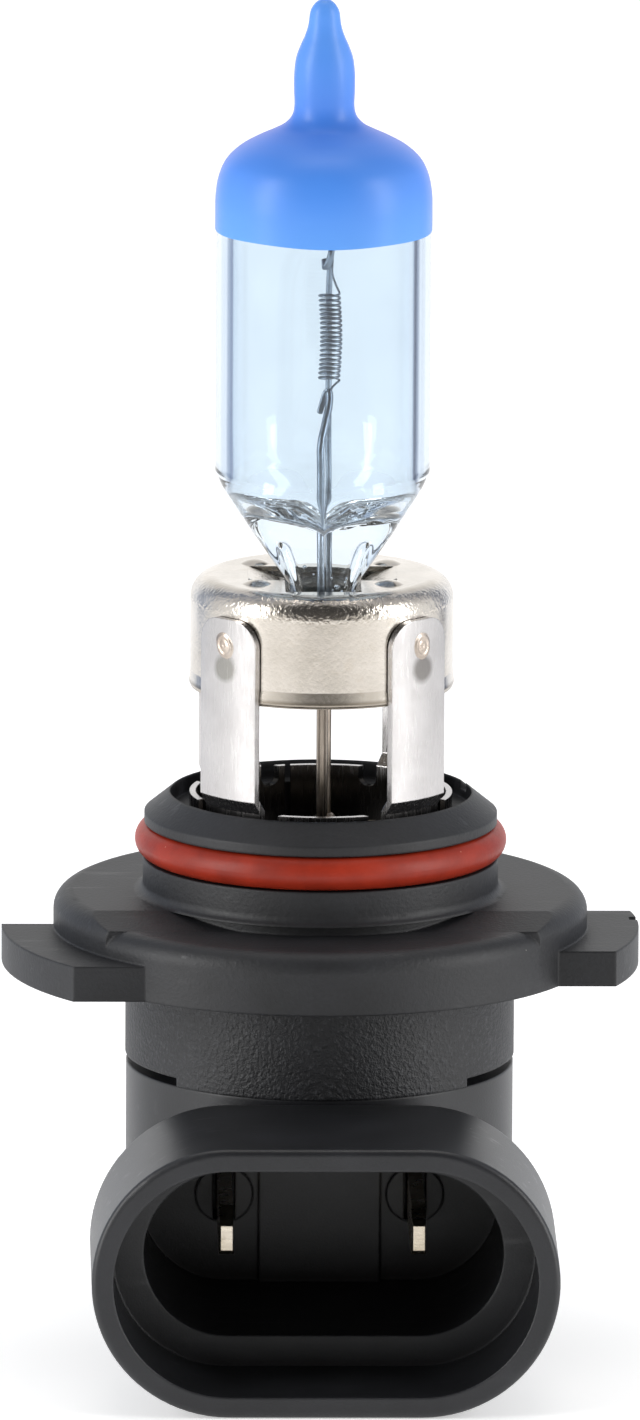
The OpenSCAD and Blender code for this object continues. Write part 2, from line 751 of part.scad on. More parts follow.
module lead_welds() {
    color([0.7, 0.7, 0.7]) for (lead = [[0, front_y], [rear_x, rear_y]]) intersection() {
        difference() {
            translate([lead.x, lead.y, floor_z + blade_t]) sphere(lead_weld_r);
            translate([lead.x, lead.y, 0]) cylinder(h = 10, d = outer_lead_d + 2 * snug);
        }
        translate([-5, -5, floor_z + blade_t]) cube([10, 10, 5]);
    }
}

module sealing_compound() {
    color([0.3, 0.3, 0.32]) difference() {
        translate([0, 0, plug_top_z]) cylinder(h = web_z - plug_top_z, r = plug_r);
        terminal_paths();
    }
}

// Outline of the bottom cap, drawn in by inset
module cap_outline(inset = 0) {
    half_w = cap_w / 2 - inset;
    y0 = cap_front_y + inset;
    y1 = cap_back_y - inset;
    translate([-half_w + cap_corner, y0]) square([2 * (half_w - cap_corner), y1 - y0]);
    translate([-half_w, y0 + cap_corner]) square([2 * half_w, y1 - y0 - 2 * cap_corner]);
    for (side = [-1, 1], y = [y0 + cap_corner, y1 - cap_corner])
        translate([side * (half_w - cap_corner), y]) circle(cap_corner);
}

module bottom_cap() {
    color([0.14, 0.14, 0.15])
        translate([0, 0, body_bottom_z]) linear_extrude(cap_t) cap_outline();
}

glass_envelope();
blue_coating();
filament_coil();
support_lead();
short_lead();
outer_lead_front();
outer_lead_rear();
retainer_cup();
mounting_bracket();
spot_welds();
base_body();
o_ring();
connector_housing();
terminal_left();
terminal_right();
terminal_bush_left();
terminal_bush_right();
lead_welds();
sealing_compound();
bottom_cap();
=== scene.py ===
# %% [markdown]
# # A halogen headlight bulb with a right-angle plug socket
#
# The bulb is a dozen crafts in one hand-sized object: blown and pinched glass, a coiled tungsten
# filament, a pressed nickel-plated cup, a bent steel bracket, a silicone seal ring and two black
# mouldings. The CAD model already holds every piece at its true size. Here each piece gets the
# shape and the surface that its own craft leaves behind.

import math

import bmesh
import bpy
import numpy as np
from mathutils import Euler, Matrix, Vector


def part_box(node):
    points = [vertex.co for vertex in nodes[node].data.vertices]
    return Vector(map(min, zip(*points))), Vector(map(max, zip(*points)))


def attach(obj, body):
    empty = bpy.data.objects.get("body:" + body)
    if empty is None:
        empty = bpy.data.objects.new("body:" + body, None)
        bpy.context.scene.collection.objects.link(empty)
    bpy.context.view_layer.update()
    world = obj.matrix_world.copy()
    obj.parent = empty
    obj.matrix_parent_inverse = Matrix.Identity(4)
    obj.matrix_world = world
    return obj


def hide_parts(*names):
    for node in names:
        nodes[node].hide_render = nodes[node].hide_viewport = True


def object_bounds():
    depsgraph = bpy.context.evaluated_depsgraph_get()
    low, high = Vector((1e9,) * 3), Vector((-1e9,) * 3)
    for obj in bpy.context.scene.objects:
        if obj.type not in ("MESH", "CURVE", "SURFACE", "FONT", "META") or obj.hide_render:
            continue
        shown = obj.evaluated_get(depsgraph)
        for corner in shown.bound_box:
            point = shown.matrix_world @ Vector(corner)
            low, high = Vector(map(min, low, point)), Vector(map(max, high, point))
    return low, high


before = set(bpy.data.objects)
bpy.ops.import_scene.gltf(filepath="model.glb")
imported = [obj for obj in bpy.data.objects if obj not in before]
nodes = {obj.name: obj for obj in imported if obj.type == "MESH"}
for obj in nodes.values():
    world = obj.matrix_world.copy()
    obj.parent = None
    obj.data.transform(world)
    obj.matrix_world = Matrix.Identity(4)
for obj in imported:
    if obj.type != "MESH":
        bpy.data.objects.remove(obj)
cad_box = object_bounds()
MM = 0.001  # the scene is in metres, and the bulb's sizes below are in millimetres
print("pieces in the packed model:", len(nodes))

# %% [markdown]
# ## The camera
#
# A product photographer stands well back with a long lens, so that the round flange doesn't
# swell towards the viewer. The camera looks a little down onto the bulb. Its distance and the
# height of the picture at the bulb set the lens, so the framing follows from two real lengths.

# %% Camera
camera_distance = 1250 * MM
picture_height = 79.4 * MM      # height of the view at the bulb's axis
camera_tilt = math.radians(11.8)
camera_turn = math.radians(-1.1)
camera_roll = math.radians(0.3)
aim = np.array([-0.07, 0, 10.2]) * MM

camera_data = bpy.data.cameras.new("camera")
camera_data.sensor_fit = "VERTICAL"
camera_data.sensor_height = 24
camera_data.lens = 24 * camera_distance / picture_height
camera_data.clip_start, camera_data.clip_end = 0.05, 20
camera = bpy.data.objects.new("camera", camera_data)
bpy.context.scene.collection.objects.link(camera)
back = np.array([
    math.sin(camera_turn) * math.cos(camera_tilt),
    -math.cos(camera_turn) * math.cos(camera_tilt),
    math.sin(camera_tilt),
])
camera.location = aim + camera_distance * back
look = Euler((math.pi / 2 - camera_tilt, 0, camera_turn)).to_matrix() @ Matrix.Rotation(camera_roll, 3, "Z")
camera.rotation_euler = look.to_euler()
bpy.context.scene.camera = camera
print("lens:", round(camera_data.lens), "mm at", camera_distance, "m")

# %% [markdown]
# ## Helpers for surfaces
#
# Every new shape below is a grid of points that numpy works out in one go: a function of two
# parameters, or a round section carried along a path. A grid becomes a mesh by joining each
# point to its neighbours with four-sided faces.

# %% A grid of points becomes a mesh
def grid_faces(rows, columns, wrap_rows=False):
    """Corner numbers of the quads of a rows x columns grid whose last column joins its first."""
    i = np.arange(rows if wrap_rows else rows - 1)[:, None]
    j = np.arange(columns)[None, :]
    a, b = i * columns + j, i * columns + (j + 1) % columns
    c, d = (i + 1) % rows * columns + (j + 1) % columns, (i + 1) % rows * columns + j
    return np.stack([a, b, c, d], axis=-1).reshape(-1, 4)


def outward(points, faces, hollow):
    """Turns the quads so that they face out of the closed shell, or into it where it is a hollow.
    The sign of the summed triple products of the corners, the shell's volume, says how they face."""
    a, b, c, d = (points[faces[:, k]] for k in range(4))
    volume = np.sum(np.cross(a, b) * c) + np.sum(np.cross(a, c) * d)
    return faces[:, ::-1] if (volume < 0) != hollow else faces


def make_piece(name, grids, sharp=40, merge=1e-4):
    """One object from closed grids, in mm: each is (points, wrap_rows, hollow), with rows x columns x 3
    points whose columns wrap. Points closer than merge become one."""
    points, faces, start = [], [], 0
    for grid, wrap_rows, hollow in grids:
        flat = grid.reshape(-1, 3)
        points.append(flat)
        faces.append(start + outward(flat, grid_faces(grid.shape[0], grid.shape[1], wrap_rows), hollow))
        start += len(flat)
    mesh = bpy.data.meshes.new(name)
    mesh.from_pydata(np.concatenate(points) * MM, [], np.concatenate(faces))
    shape = bmesh.new()
    shape.from_mesh(mesh)
    bmesh.ops.remove_doubles(shape, verts=shape.verts, dist=merge * MM)
    bmesh.ops.dissolve_degenerate(shape, edges=shape.edges, dist=merge * MM)
    shape.to_mesh(mesh)
    shape.free()
    mesh.shade_smooth()
    mesh.set_sharp_from_angle(angle=math.radians(sharp))
    piece = bpy.data.objects.new(name, mesh)
    bpy.context.scene.collection.objects.link(piece)
    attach(piece, "root")
    print(name, "has", len(mesh.polygons), "faces")
    return piece


# %% [markdown]
# Wire and outlines both run along smooth curves through a few chosen points. A Catmull-Rom
# curve passes through every one of them and never kinks, which is how bent wire behaves.

# %% Smooth curves and swept wire
def smooth(points, steps):
    """Catmull-Rom curve through the points: between two of them it is a cubic whose slope at each
    end is half the step from the point before to the point after."""
    p = np.asarray(points, float)
    p = np.concatenate([2 * p[:1] - p[1:2], p, 2 * p[-1:] - p[-2:-1]])
    t = np.linspace(0, len(p) - 3, steps)
    i = np.minimum(t.astype(int), len(p) - 4)
    u = (t - i)[:, None]
    a, b, c, d = p[i], p[i + 1], p[i + 2], p[i + 3]
    return b + u * (c - a) / 2 + u**2 * (2 * a - 5 * b + 4 * c - d) / 2 + u**3 * (3 * b - a - 3 * c + d) / 2


def unit(v):
    """Vectors scaled to length one."""
    return v / np.linalg.norm(v, axis=-1, keepdims=True)


def sweep(path, side, width, depth, corners=20):
    """Oval wire along a path: at each point the section is width x depth, with its width along side.
    Both ends close in to a point over a round nose."""
    path = np.asarray(path, float)
    tangent = unit(np.gradient(path, axis=0))
    across = unit(side - np.sum(side * tangent, axis=-1, keepdims=True) * tangent)
    over = np.cross(tangent, across)
    nose = np.linspace(0, math.pi / 2, 5)[:, None]
    head = path[:1] - tangent[:1] * np.cos(nose) * np.min(depth) / 2
    tail = path[-1:] + tangent[-1:] * np.cos(nose[::-1]) * np.min(depth) / 2
    line = np.concatenate([head, path, tail])
    share = np.concatenate([np.sin(nose[:, 0]), np.ones(len(path)), np.sin(nose[::-1, 0])])
    rows = np.concatenate([np.zeros(5, int), np.arange(len(path)), np.full(5, len(path) - 1)])
    a = np.linspace(0, 2 * math.pi, corners, endpoint=False)[None, :, None]
    w = (np.broadcast_to(width, len(path))[rows] * share / 2)[:, None, None]
    h = (np.broadcast_to(depth, len(path))[rows] * share / 2)[:, None, None]
    return line[:, None] + w * np.cos(a) * across[rows][:, None] + h * np.sin(a) * over[rows][:, None]


def waves(x, y, z, size, seed):
    """Smooth uneven value from -1 to 1, from five crossing sine waves whose length is about size."""
    random = np.random.default_rng(seed)
    total = 0
    for _ in range(5):
        direction = unit(random.normal(size=3)) * 2 * math.pi / size * random.uniform(0.6, 1.5)
        phase = direction[0] * x + direction[1] * y + direction[2] * z + random.uniform(0, 6.28)
        total = total + np.sin(phase)
    return total / 5


# %% [markdown]
# ## Helpers for materials
#
# Colours are written as the familiar sRGB hex codes, and the shader wants linear light, so one
# function converts them. A second one adds a node, sets it and links it.

# %% Colours and nodes
def linear(code):
    """Linear RGBA of an sRGB hex code: c / 12.92 when dark, else ((c + 0.055) / 1.055) to the 2.4."""
    c = np.array([int(code[i:i + 2], 16) for i in (1, 3, 5)]) / 255
    return (*np.where(c <= 0.04045, c / 12.92, ((c + 0.055) / 1.055) ** 2.4).tolist(), 1.0)


def add(tree, kind, values=None, links=None, **settings):
    """Adds a node: settings are its properties, values its sockets' numbers, links what feeds its sockets."""
    node = tree.nodes.new(kind)
    for name, value in settings.items():
        setattr(node, name, value)
    for name, value in (values or {}).items():
        node.inputs[name].default_value = value
    for name, source in (links or {}).items():
        tree.links.new(source, node.inputs[name])
    return node


def new_material(name):
    """An empty node material, its tree, and the coordinates in metres from the bulb's origin."""
    made = bpy.data.materials.new(name)
    made.use_nodes = True
    made.node_tree.nodes.clear()
    place = add(made.node_tree, "ShaderNodeTexCoord").outputs["Object"]
    return made, made.node_tree, place


def set_stops(ramp, stops):
    """Gives a colour ramp its stops: (position, sRGB hex) pairs in rising order."""
    line = ramp.color_ramp
    while len(line.elements) < len(stops):
        line.elements.new(1)
    for element, (position, code) in zip(line.elements, stops):
        element.position, element.color = position, linear(code)


def finish_material(tree, values, links):
    """Adds the shader that the materials end in, and the output."""
    shader = add(tree, "ShaderNodeBsdfPrincipled", values, links)
    add(tree, "ShaderNodeOutputMaterial", links={"Surface": shader.outputs["BSDF"]})


# %% [markdown]
# ## Black plastic
#
# Both mouldings are glass-filled polyester (PBT), black right through. The base's flange is
# lightly spark-eroded, its neck is coarse, and the socket is smoother. Grain could be carved as
# real bumps, but it is only some hundredths of a millimetre deep, so a bump map in the material is
# the honest way. Clouds of slightly lighter black, rare dust specks and fine scuffs keep it
# from looking like a computer's black.

# %% Moulded PBT
def moulded_plastic(name, dark, light, grain_mm, grain_depth_mm, rough_from, rough_to, coarse_below=None):
    """Black moulding with a fine grain and softened edges. Below the height coarse_below, in mm, the grain
    is four times as deep and its crests are painted paler: a painted highlight where the coarse grain catches
    the light."""
    made, tree, place = new_material(name)
    cloud = add(tree, "ShaderNodeTexNoise", {"Scale": 1 / (3.5 * MM), "Detail": 4}, {"Vector": place})
    grain = add(tree, "ShaderNodeTexNoise", {"Scale": 1 / (grain_mm * MM), "Detail": 2, "Roughness": 0.6},
                {"Vector": place})
    both = add(tree, "ShaderNodeMix", {"Factor": 0.35},
               {"A": cloud.outputs["Fac"], "B": grain.outputs["Fac"]})
    tone = add(tree, "ShaderNodeValToRGB", links={"Fac": both.outputs["Result"]})
    set_stops(tone, [(0.35, dark), (0.65, light)])
    # Dust: one cell in nine of a 1.6 mm pattern holds a speck 0.1 mm across.
    cells = add(tree, "ShaderNodeTexVoronoi", {"Scale": 1 / (1.6 * MM)}, {"Vector": place})
    near = add(tree, "ShaderNodeMath", {1: 0.035}, {0: cells.outputs["Distance"]}, operation="LESS_THAN")
    chosen = add(tree, "ShaderNodeSeparateColor", links={"Color": cells.outputs["Color"]})
    rare = add(tree, "ShaderNodeMath", {1: 0.11}, {0: chosen.outputs["Red"]}, operation="LESS_THAN")
    speck = add(tree, "ShaderNodeMath", links={0: near.outputs["Value"], 1: rare.outputs["Value"]},
                operation="MULTIPLY")
    dusty = add(tree, "ShaderNodeMix", {"B": linear("#a9a7a2")},
                {"Factor": speck.outputs["Value"], "A": tone.outputs["Color"]}, data_type="RGBA")
    # Scuffs: a noise drawn out ten times along one slanted line, of which only the crests show.
    slant = add(tree, "ShaderNodeMapping", {"Rotation": (0.5, 0.3, 0.9), "Scale": (1, 10, 10)},
                {"Vector": place})
    scuff = add(tree, "ShaderNodeTexNoise", {"Scale": 1 / (6 * MM), "Detail": 2},
                {"Vector": slant.outputs["Vector"]})
    rough = add(tree, "ShaderNodeMapRange",
                {"From Min": 0.62, "From Max": 0.78, "To Min": rough_from, "To Max": rough_to},
                {"Value": scuff.outputs["Fac"]})
    # A mould's edges are never knife-sharp: the shading turns over them within 0.2 mm.
    edge = add(tree, "ShaderNodeBevel", {"Radius": 0.2 * MM}, samples=6)
    bump = add(tree, "ShaderNodeBump", {"Strength": 1.0, "Distance": grain_depth_mm * MM},
               {"Height": grain.outputs["Fac"], "Normal": edge.outputs["Normal"]})
    colour = dusty.outputs["Result"]
    if coarse_below is not None:
        level = add(tree, "ShaderNodeSeparateXYZ", links={"Vector": place}).outputs["Z"]
        below = add(tree, "ShaderNodeMath", {1: coarse_below * MM}, {0: level}, operation="LESS_THAN")
        depth = add(tree, "ShaderNodeMapRange", {"To Min": 0.25, "To Max": 1.0},
                    {"Value": below.outputs["Value"]})
        tree.links.new(depth.outputs["Result"], bump.inputs["Strength"])
        # Painted highlight: below coarse_below the crests of the grain are mixed towards a paler grey.
        crest = add(tree, "ShaderNodeMapRange", {"From Min": 0.56, "From Max": 0.72, "To Max": 0.45},
                    {"Value": grain.outputs["Fac"]})
        crest_highlight = add(tree, "ShaderNodeMath", links={0: crest.outputs["Result"], 1: below.outputs["Value"]},
                   operation="MULTIPLY")
        highlighted_crests = add(tree, "ShaderNodeMix", {"B": linear("#4c4d51")},
                   {"Factor": crest_highlight.outputs["Value"], "A": colour}, data_type="RGBA")
        colour = highlighted_crests.outputs["Result"]
    finish_material(tree, {"Specular IOR Level": 0.5, "IOR": 1.55}, {
        "Base Color": colour, "Roughness": rough.outputs["Result"], "Normal": bump.outputs["Normal"]})
    return made


flange_low = -4.07  # mm; the coarse neck begins under the flange
base_black = moulded_plastic("base_pbt_spark_eroded", "#101114", "#1e1f23", 0.22, 0.09, 0.52, 0.4,
                             coarse_below=flange_low)
socket_black = moulded_plastic("socket_pbt_satin", "#141518", "#202125", 0.12, 0.008, 0.4, 0.3)
print("plastics:", base_black.name, socket_black.name)

# %% [markdown]
# ## Plated metal
#
# Nickel plate mirrors whatever is round it, so its look comes from roughness and tiny unevenness
# rather than from colour. The cup was barrel-finished after drawing, which leaves a dimpled skin:
# where its curve sweeps across the light tent, that skin breaks the reflection up into sparkling
# grain. The bracket was cut from bright rolled strip and shows faint lines along the strip.

# %% Nickel plate, steel strip and wires
def near_height(tree, place, middle, half, soft):
    """1 within half of the height middle, and 0 further than soft beyond it, all in mm."""
    level = add(tree, "ShaderNodeSeparateXYZ", links={"Vector": place}).outputs["Z"]
    away = add(tree, "ShaderNodeMath", {1: -middle * MM}, {0: level}, operation="ADD")
    away = add(tree, "ShaderNodeMath", links={0: away.outputs["Value"]}, operation="ABSOLUTE")
    fade = add(tree, "ShaderNodeMapRange",
               {"From Min": half * MM, "From Max": (half + soft) * MM, "To Min": 1.0, "To Max": 0.0},
               {"Value": away.outputs["Value"]}, interpolation_type="SMOOTHSTEP")
    return fade.outputs["Result"]


def plated_metal(name, dark, light, rough_from, rough_to, skin_mm, skin_depth_mm, stretch,
                 stain, stain_share, grainy=None, painted_shade_bands=None, marks=None):
    """Bare or plated metal: clouds between two colours, uneven roughness, and a skin whose dimples are
    skin_mm wide, drawn out by the factors in stretch. stain tints a few soft patches. grainy is the band
    of heights, as (middle, half, soft) in mm, outside which the skin is hardly dimpled. painted_shade_bands
    is a list
    of (middle, half, soft, colour): bands of height that get painted shade, a darker colour. marks is a list
    of (point, radius, colour) in mm: soft round stains."""
    made, tree, place = new_material(name)
    cloud = add(tree, "ShaderNodeTexNoise", {"Scale": 1 / (2.5 * MM), "Detail": 3}, {"Vector": place})
    tone = add(tree, "ShaderNodeValToRGB", links={"Fac": cloud.outputs["Fac"]})
    set_stops(tone, [(0.35, dark), (0.65, light)])
    patch = add(tree, "ShaderNodeTexNoise", {"Scale": 1 / (1.1 * MM), "Detail": 5, "Roughness": 0.65},
                {"Vector": place})
    spread = add(tree, "ShaderNodeMapRange", {"From Min": 0.56, "From Max": 0.72, "To Max": stain_share},
                 {"Value": patch.outputs["Fac"]})
    stained = add(tree, "ShaderNodeMix", {"B": linear(stain)},
                  {"Factor": spread.outputs["Result"], "A": tone.outputs["Color"]}, data_type="RGBA")
    colour = stained.outputs["Result"]
    drawn = add(tree, "ShaderNodeMapping", {"Scale": stretch}, {"Vector": place})
    skin = add(tree, "ShaderNodeTexNoise", {"Scale": 1 / (skin_mm * MM), "Detail": 2},
               {"Vector": drawn.outputs["Vector"]})
    rough = add(tree, "ShaderNodeMapRange",
                {"From Min": 0.3, "From Max": 0.7, "To Min": rough_from, "To Max": rough_to},
                {"Value": skin.outputs["Fac"]})
    edge = add(tree, "ShaderNodeBevel", {"Radius": 0.06 * MM}, samples=4)
    bump = add(tree, "ShaderNodeBump", {"Strength": 1.0, "Distance": skin_depth_mm * MM},
               {"Height": skin.outputs["Fac"], "Normal": edge.outputs["Normal"]})
    if grainy:
        deep = add(tree, "ShaderNodeMapRange", {"To Min": 0.08, "To Max": 1.0},
                   {"Value": near_height(tree, place, *grainy)})
        tree.links.new(deep.outputs["Result"], bump.inputs["Strength"])
    # Painted shade: each band of height mixes the colour towards a darker one.
    for middle, half, soft, code in painted_shade_bands or []:
        band = add(tree, "ShaderNodeMix", {"B": linear(code)},
                   {"Factor": near_height(tree, place, middle, half, soft), "A": colour}, data_type="RGBA")
        colour = band.outputs["Result"]
    for point, radius, code in marks or []:
        # The distance from the mark's middle, made ragged by up to half a millimetre of cloud
        gap = add(tree, "ShaderNodeVectorMath", {1: tuple(v * MM for v in point)}, {0: place},
                  operation="DISTANCE")
        ragged = add(tree, "ShaderNodeMath", {1: -0.5 * MM}, {0: cloud.outputs["Fac"]}, operation="MULTIPLY")
        reach = add(tree, "ShaderNodeMath", links={0: gap.outputs["Value"], 1: ragged.outputs["Value"]},
                    operation="ADD")
        inside = add(tree, "ShaderNodeMapRange",
                     {"From Min": (0.6 * radius - 0.25) * MM, "From Max": (radius - 0.25) * MM,
                      "To Min": 0.8, "To Max": 0.0}, {"Value": reach.outputs["Value"]})
        mark = add(tree, "ShaderNodeMix", {"B": linear(code)},
                   {"Factor": inside.outputs["Result"], "A": colour}, data_type="RGBA")
        colour = mark.outputs["Result"]
    finish_material(tree, {"Metallic": 1.0}, {
        "Base Color": colour, "Roughness": rough.outputs["Result"], "Normal": bump.outputs["Normal"]})
    return made


# The cup's dimples are about 0.1 mm across; they are drawn at 0.22 mm so that they show. They are deep
# only where the cup's side turns into its top, and its lower rim gets a band of painted shade, a darker
# colour.
cup_turn = (17.25, 0.45, 0.3)
cup_rim_shade = (11.75, 0.25, 0.25, "#a59c90")
cup_nickel = plated_metal("barrel_finished_nickel", "#d0c9bf", "#dfd8cf", 0.13, 0.22, 0.22, 0.045,
                          (1, 1, 1), "#c4b7a3", 0.3, grainy=cup_turn, painted_shade_bands=[cup_rim_shade])
# The legs get painted shade, a dark colour, low down where they reach into the well, and each has the smudge
# of its weld's heat under the nugget.
well_shade_on_legs = (2.5, 2.3, 1.2, "#3a3836")
smudge_z, smudge_r = 13.75, 0.95
smudges = [((x, y, smudge_z), smudge_r, code) for x, y, code in (
    (-5.5, -5.5, "#8f8d86"), (5.55, -5.45, "#77736f"), (-5.5, 5.5, "#8f8d86"), (5.5, 5.5, "#8f8d86"))]
strip_steel = plated_metal("rolled_nickel_steel", "#c3c0bf", "#cfcccb", 0.17, 0.3, 0.12, 0.0008,
                           (1, 1, 0.1), "#b4b0ac", 0.25, painted_shade_bands=[well_shade_on_legs], marks=smudges)
lead_nickel = plated_metal("drawn_nickel_wire", "#8f857a", "#b9ada0", 0.24, 0.4, 0.1, 0.004,
                           (1, 1, 0.05), "#6e6054", 0.6)
molybdenum = plated_metal("molybdenum_wire", "#8b939d", "#aeb6c0", 0.28, 0.42, 0.08, 0.004,
                          (1, 1, 0.08), "#6c7480", 0.4)
tungsten = plated_metal("drawn_tungsten", "#7d838c", "#a3a9b1", 0.3, 0.45, 0.05, 0.003,
                        (1, 1, 1), "#4c525b", 0.4)
weld_metal = plated_metal("spot_weld_nugget", "#b5a89c", "#d3c8bd", 0.25, 0.45, 0.12, 0.01,
                          (1, 1, 1), "#85786f", 0.6)
tinned_brass = plated_metal("tinned_brass", "#cbbfa8", "#e6dccb", 0.24, 0.38, 0.1, 0.004,
                            (0.1, 0.1, 1), "#9b8d73", 0.4)
metals = (cup_nickel, strip_steel, lead_nickel, molybdenum, tungsten, weld_metal, tinned_brass)
print("metals:", ", ".join(metal.name for metal in metals))

# %% [markdown]
# ## Silicone, compound and glass
#
# The seal ring is red-brown silicone: soft, satin and slightly dusty. The casting compound inside
# the neck is grey epoxy. The envelope is hard aluminosilicate glass with a faint blue tint, whose
# refractive index is 1.53. Its tint rides on the transmitted colour, because the wall is so thin.

# %% Silicone rubber
seal_red, tree, place = new_material("red_brown_silicone")
cloud = add(tree, "ShaderNodeTexNoise", {"Scale": 1 / (1.8 * MM), "Detail": 4}, {"Vector": place})
tone = add(tree, "ShaderNodeValToRGB", links={"Fac": cloud.outputs["Fac"]})
set_stops(tone, [(0.3, "#8a2410"), (0.7, "#a82f16")])
dust = add(tree, "ShaderNodeTexVoronoi", {"Scale": 1 / (1.3 * MM)}, {"Vector": place})
speck = add(tree, "ShaderNodeMath", {1: 0.03}, {0: dust.outputs["Distance"]}, operation="LESS_THAN")
dusty = add(tree, "ShaderNodeMix", {"B": linear("#c98874")},
            {"Factor": speck.outputs["Value"], "A": tone.outputs["Color"]}, data_type="RGBA")
skin = add(tree, "ShaderNodeTexNoise", {"Scale": 1 / (0.15 * MM), "Detail": 3}, {"Vector": place})
bump = add(tree, "ShaderNodeBump", {"Strength": 1.0, "Distance": 0.006 * MM}, {"Height": skin.outputs["Fac"]})
rough = add(tree, "ShaderNodeMapRange", {"To Min": 0.36, "To Max": 0.55}, {"Value": skin.outputs["Fac"]})
finish_material(tree, {"IOR": 1.43}, {
    "Base Color": dusty.outputs["Result"], "Roughness": rough.outputs["Result"],
    "Normal": bump.outputs["Normal"]})
print("silicone:", seal_red.name)

# %% Casting compound
compound, tree, place = new_material("grey_casting_epoxy")
cloud = add(tree, "ShaderNodeTexNoise", {"Scale": 1 / (2 * MM), "Detail": 5}, {"Vector": place})
tone = add(tree, "ShaderNodeValToRGB", links={"Fac": cloud.outputs["Fac"]})
set_stops(tone, [(0.3, "#3a3b3f"), (0.7, "#55565a")])
bump = add(tree, "ShaderNodeBump", {"Strength": 1.0, "Distance": 0.03 * MM}, {"Height": cloud.outputs["Fac"]})
finish_material(tree, {"Roughness": 0.4, "IOR": 1.55},
                {"Base Color": tone.outputs["Color"], "Normal": bump.outputs["Normal"]})
print("compound:", compound.name)

# %% Hard glass
hard_glass, tree, place = new_material("aluminosilicate_glass")
cloud = add(tree, "ShaderNodeTexNoise", {"Scale": 1 / (5 * MM), "Detail": 2}, {"Vector": place})
tone = add(tree, "ShaderNodeValToRGB", links={"Fac": cloud.outputs["Fac"]})
set_stops(tone, [(0.35, "#e3edf5"), (0.65, "#e8f2f9")])
finish_material(tree, {"Transmission Weight": 1.0, "Roughness": 0.0, "IOR": 1.53},
                {"Base Color": tone.outputs["Color"]})
print("glass:", hard_glass.name)

# %% [markdown]
# The blue on the dome is an interference coat, dipped and baked: a satin film that lets some light
# through. Its colour is darkest round the foot of the exhaust tip and lighter towards its lower
# edge and the tip's end. At a glancing angle it turns violet, which a tinted sheen gives. A few specks of
# dirt were baked in.

# %% Blue coat
blue_film, tree, place = new_material("blue_interference_coat")
level = add(tree, "ShaderNodeSeparateXYZ", links={"Vector": place}).outputs["Z"]
drift = add(tree, "ShaderNodeTexNoise", {"Scale": 1 / (4 * MM), "Detail": 3}, {"Vector": place})
wobble = add(tree, "ShaderNodeMath", {1: 1.2 * MM, 2: -0.6 * MM}, {0: drift.outputs["Fac"]},
             operation="MULTIPLY_ADD")
place_z = add(tree, "ShaderNodeMath", links={0: level, 1: wobble.outputs["Value"]}, operation="ADD")
coat_from, coat_to = 37.4, 50.6  # heights in mm between which the colour runs
share = add(tree, "ShaderNodeMapRange", {"From Min": coat_from * MM, "From Max": coat_to * MM},
            {"Value": place_z.outputs["Value"]})
depth = add(tree, "ShaderNodeValToRGB", links={"Fac": share.outputs["Result"]})
set_stops(depth, [(0.0, "#63a5fb"), (0.2, "#5697f6"), (0.40, "#4789ec"), (0.46, "#3e7cdf"),
                  (0.54, "#5491f1"), (1.0, "#609ff8")])
spots = add(tree, "ShaderNodeTexVoronoi", {"Scale": 1 / (1.5 * MM)}, {"Vector": place})
near = add(tree, "ShaderNodeMath", {1: 0.035}, {0: spots.outputs["Distance"]}, operation="LESS_THAN")
chosen = add(tree, "ShaderNodeSeparateColor", links={"Color": spots.outputs["Color"]})
rare = add(tree, "ShaderNodeMath", {1: 0.22}, {0: chosen.outputs["Green"]}, operation="LESS_THAN")
speck = add(tree, "ShaderNodeMath", links={0: near.outputs["Value"], 1: rare.outputs["Value"]},
            operation="MULTIPLY")
dirty = add(tree, "ShaderNodeMix", {"B": linear("#1f3f8c")},
            {"Factor": speck.outputs["Value"], "A": depth.outputs["Color"]}, data_type="RGBA")
bump = add(tree, "ShaderNodeBump", {"Strength": 1.0, "Distance": 0.01 * MM}, {"Height": drift.outputs["Fac"]})
finish_material(tree, {"Roughness": 0.38, "IOR": 1.45, "Sheen Weight": 0.5, "Sheen Roughness": 0.35,
                       "Sheen Tint": linear("#b9a4ff")},
                {"Base Color": dirty.outputs["Result"], "Normal": bump.outputs["Normal"]})
print("coat:", blue_film.name)

# %% [markdown]
# ## Finishes for the pieces that stay as they are
#
# Most of the CAD pieces already have their true shape, and they only need the right material.

# %% Assign the materials
finishes = {
    base_black: ["base_body"],
    socket_black: ["connector_housing", "terminal_bush_left", "terminal_bush_right", "bottom_cap"],
    cup_nickel: ["retainer_cup"],
    strip_steel: ["mounting_bracket"],
    lead_nickel: ["outer_lead_front", "outer_lead_rear"],
    tinned_brass: ["terminal_left", "terminal_right"],
    weld_metal: ["spot_welds", "lead_welds"],
    seal_red: ["o_ring"],
    compound: ["sealing_compound"],
    hard_glass: ["glass_envelope"],
    blue_film: ["blue_coating"],
    tungsten: ["filament_coil"],
    molybdenum: ["support_lead", "short_lead"],
}
for finish, names in finishes.items():
    for name in names:
        nodes[name].data.materials.clear()
        nodes[name].data.materials.append(finish)
print("finishes:", len(finishes))

# %% [markdown]
# ## The glass envelope
#
# A glassworker draws the tube, seals a thin exhaust pipe on its end, and then presses the hot
# foot flat in a pinch machine. So the envelope is one outline that is round at the top and turns
# into a flat bar below. Here each level of the outside is a superellipse: |x/a|^n + |y/b|^n = 1.
# Its exponent n runs from 2, a circle, to 5, nearly a rectangle, while its half width a follows
# the curve that the machine leaves.

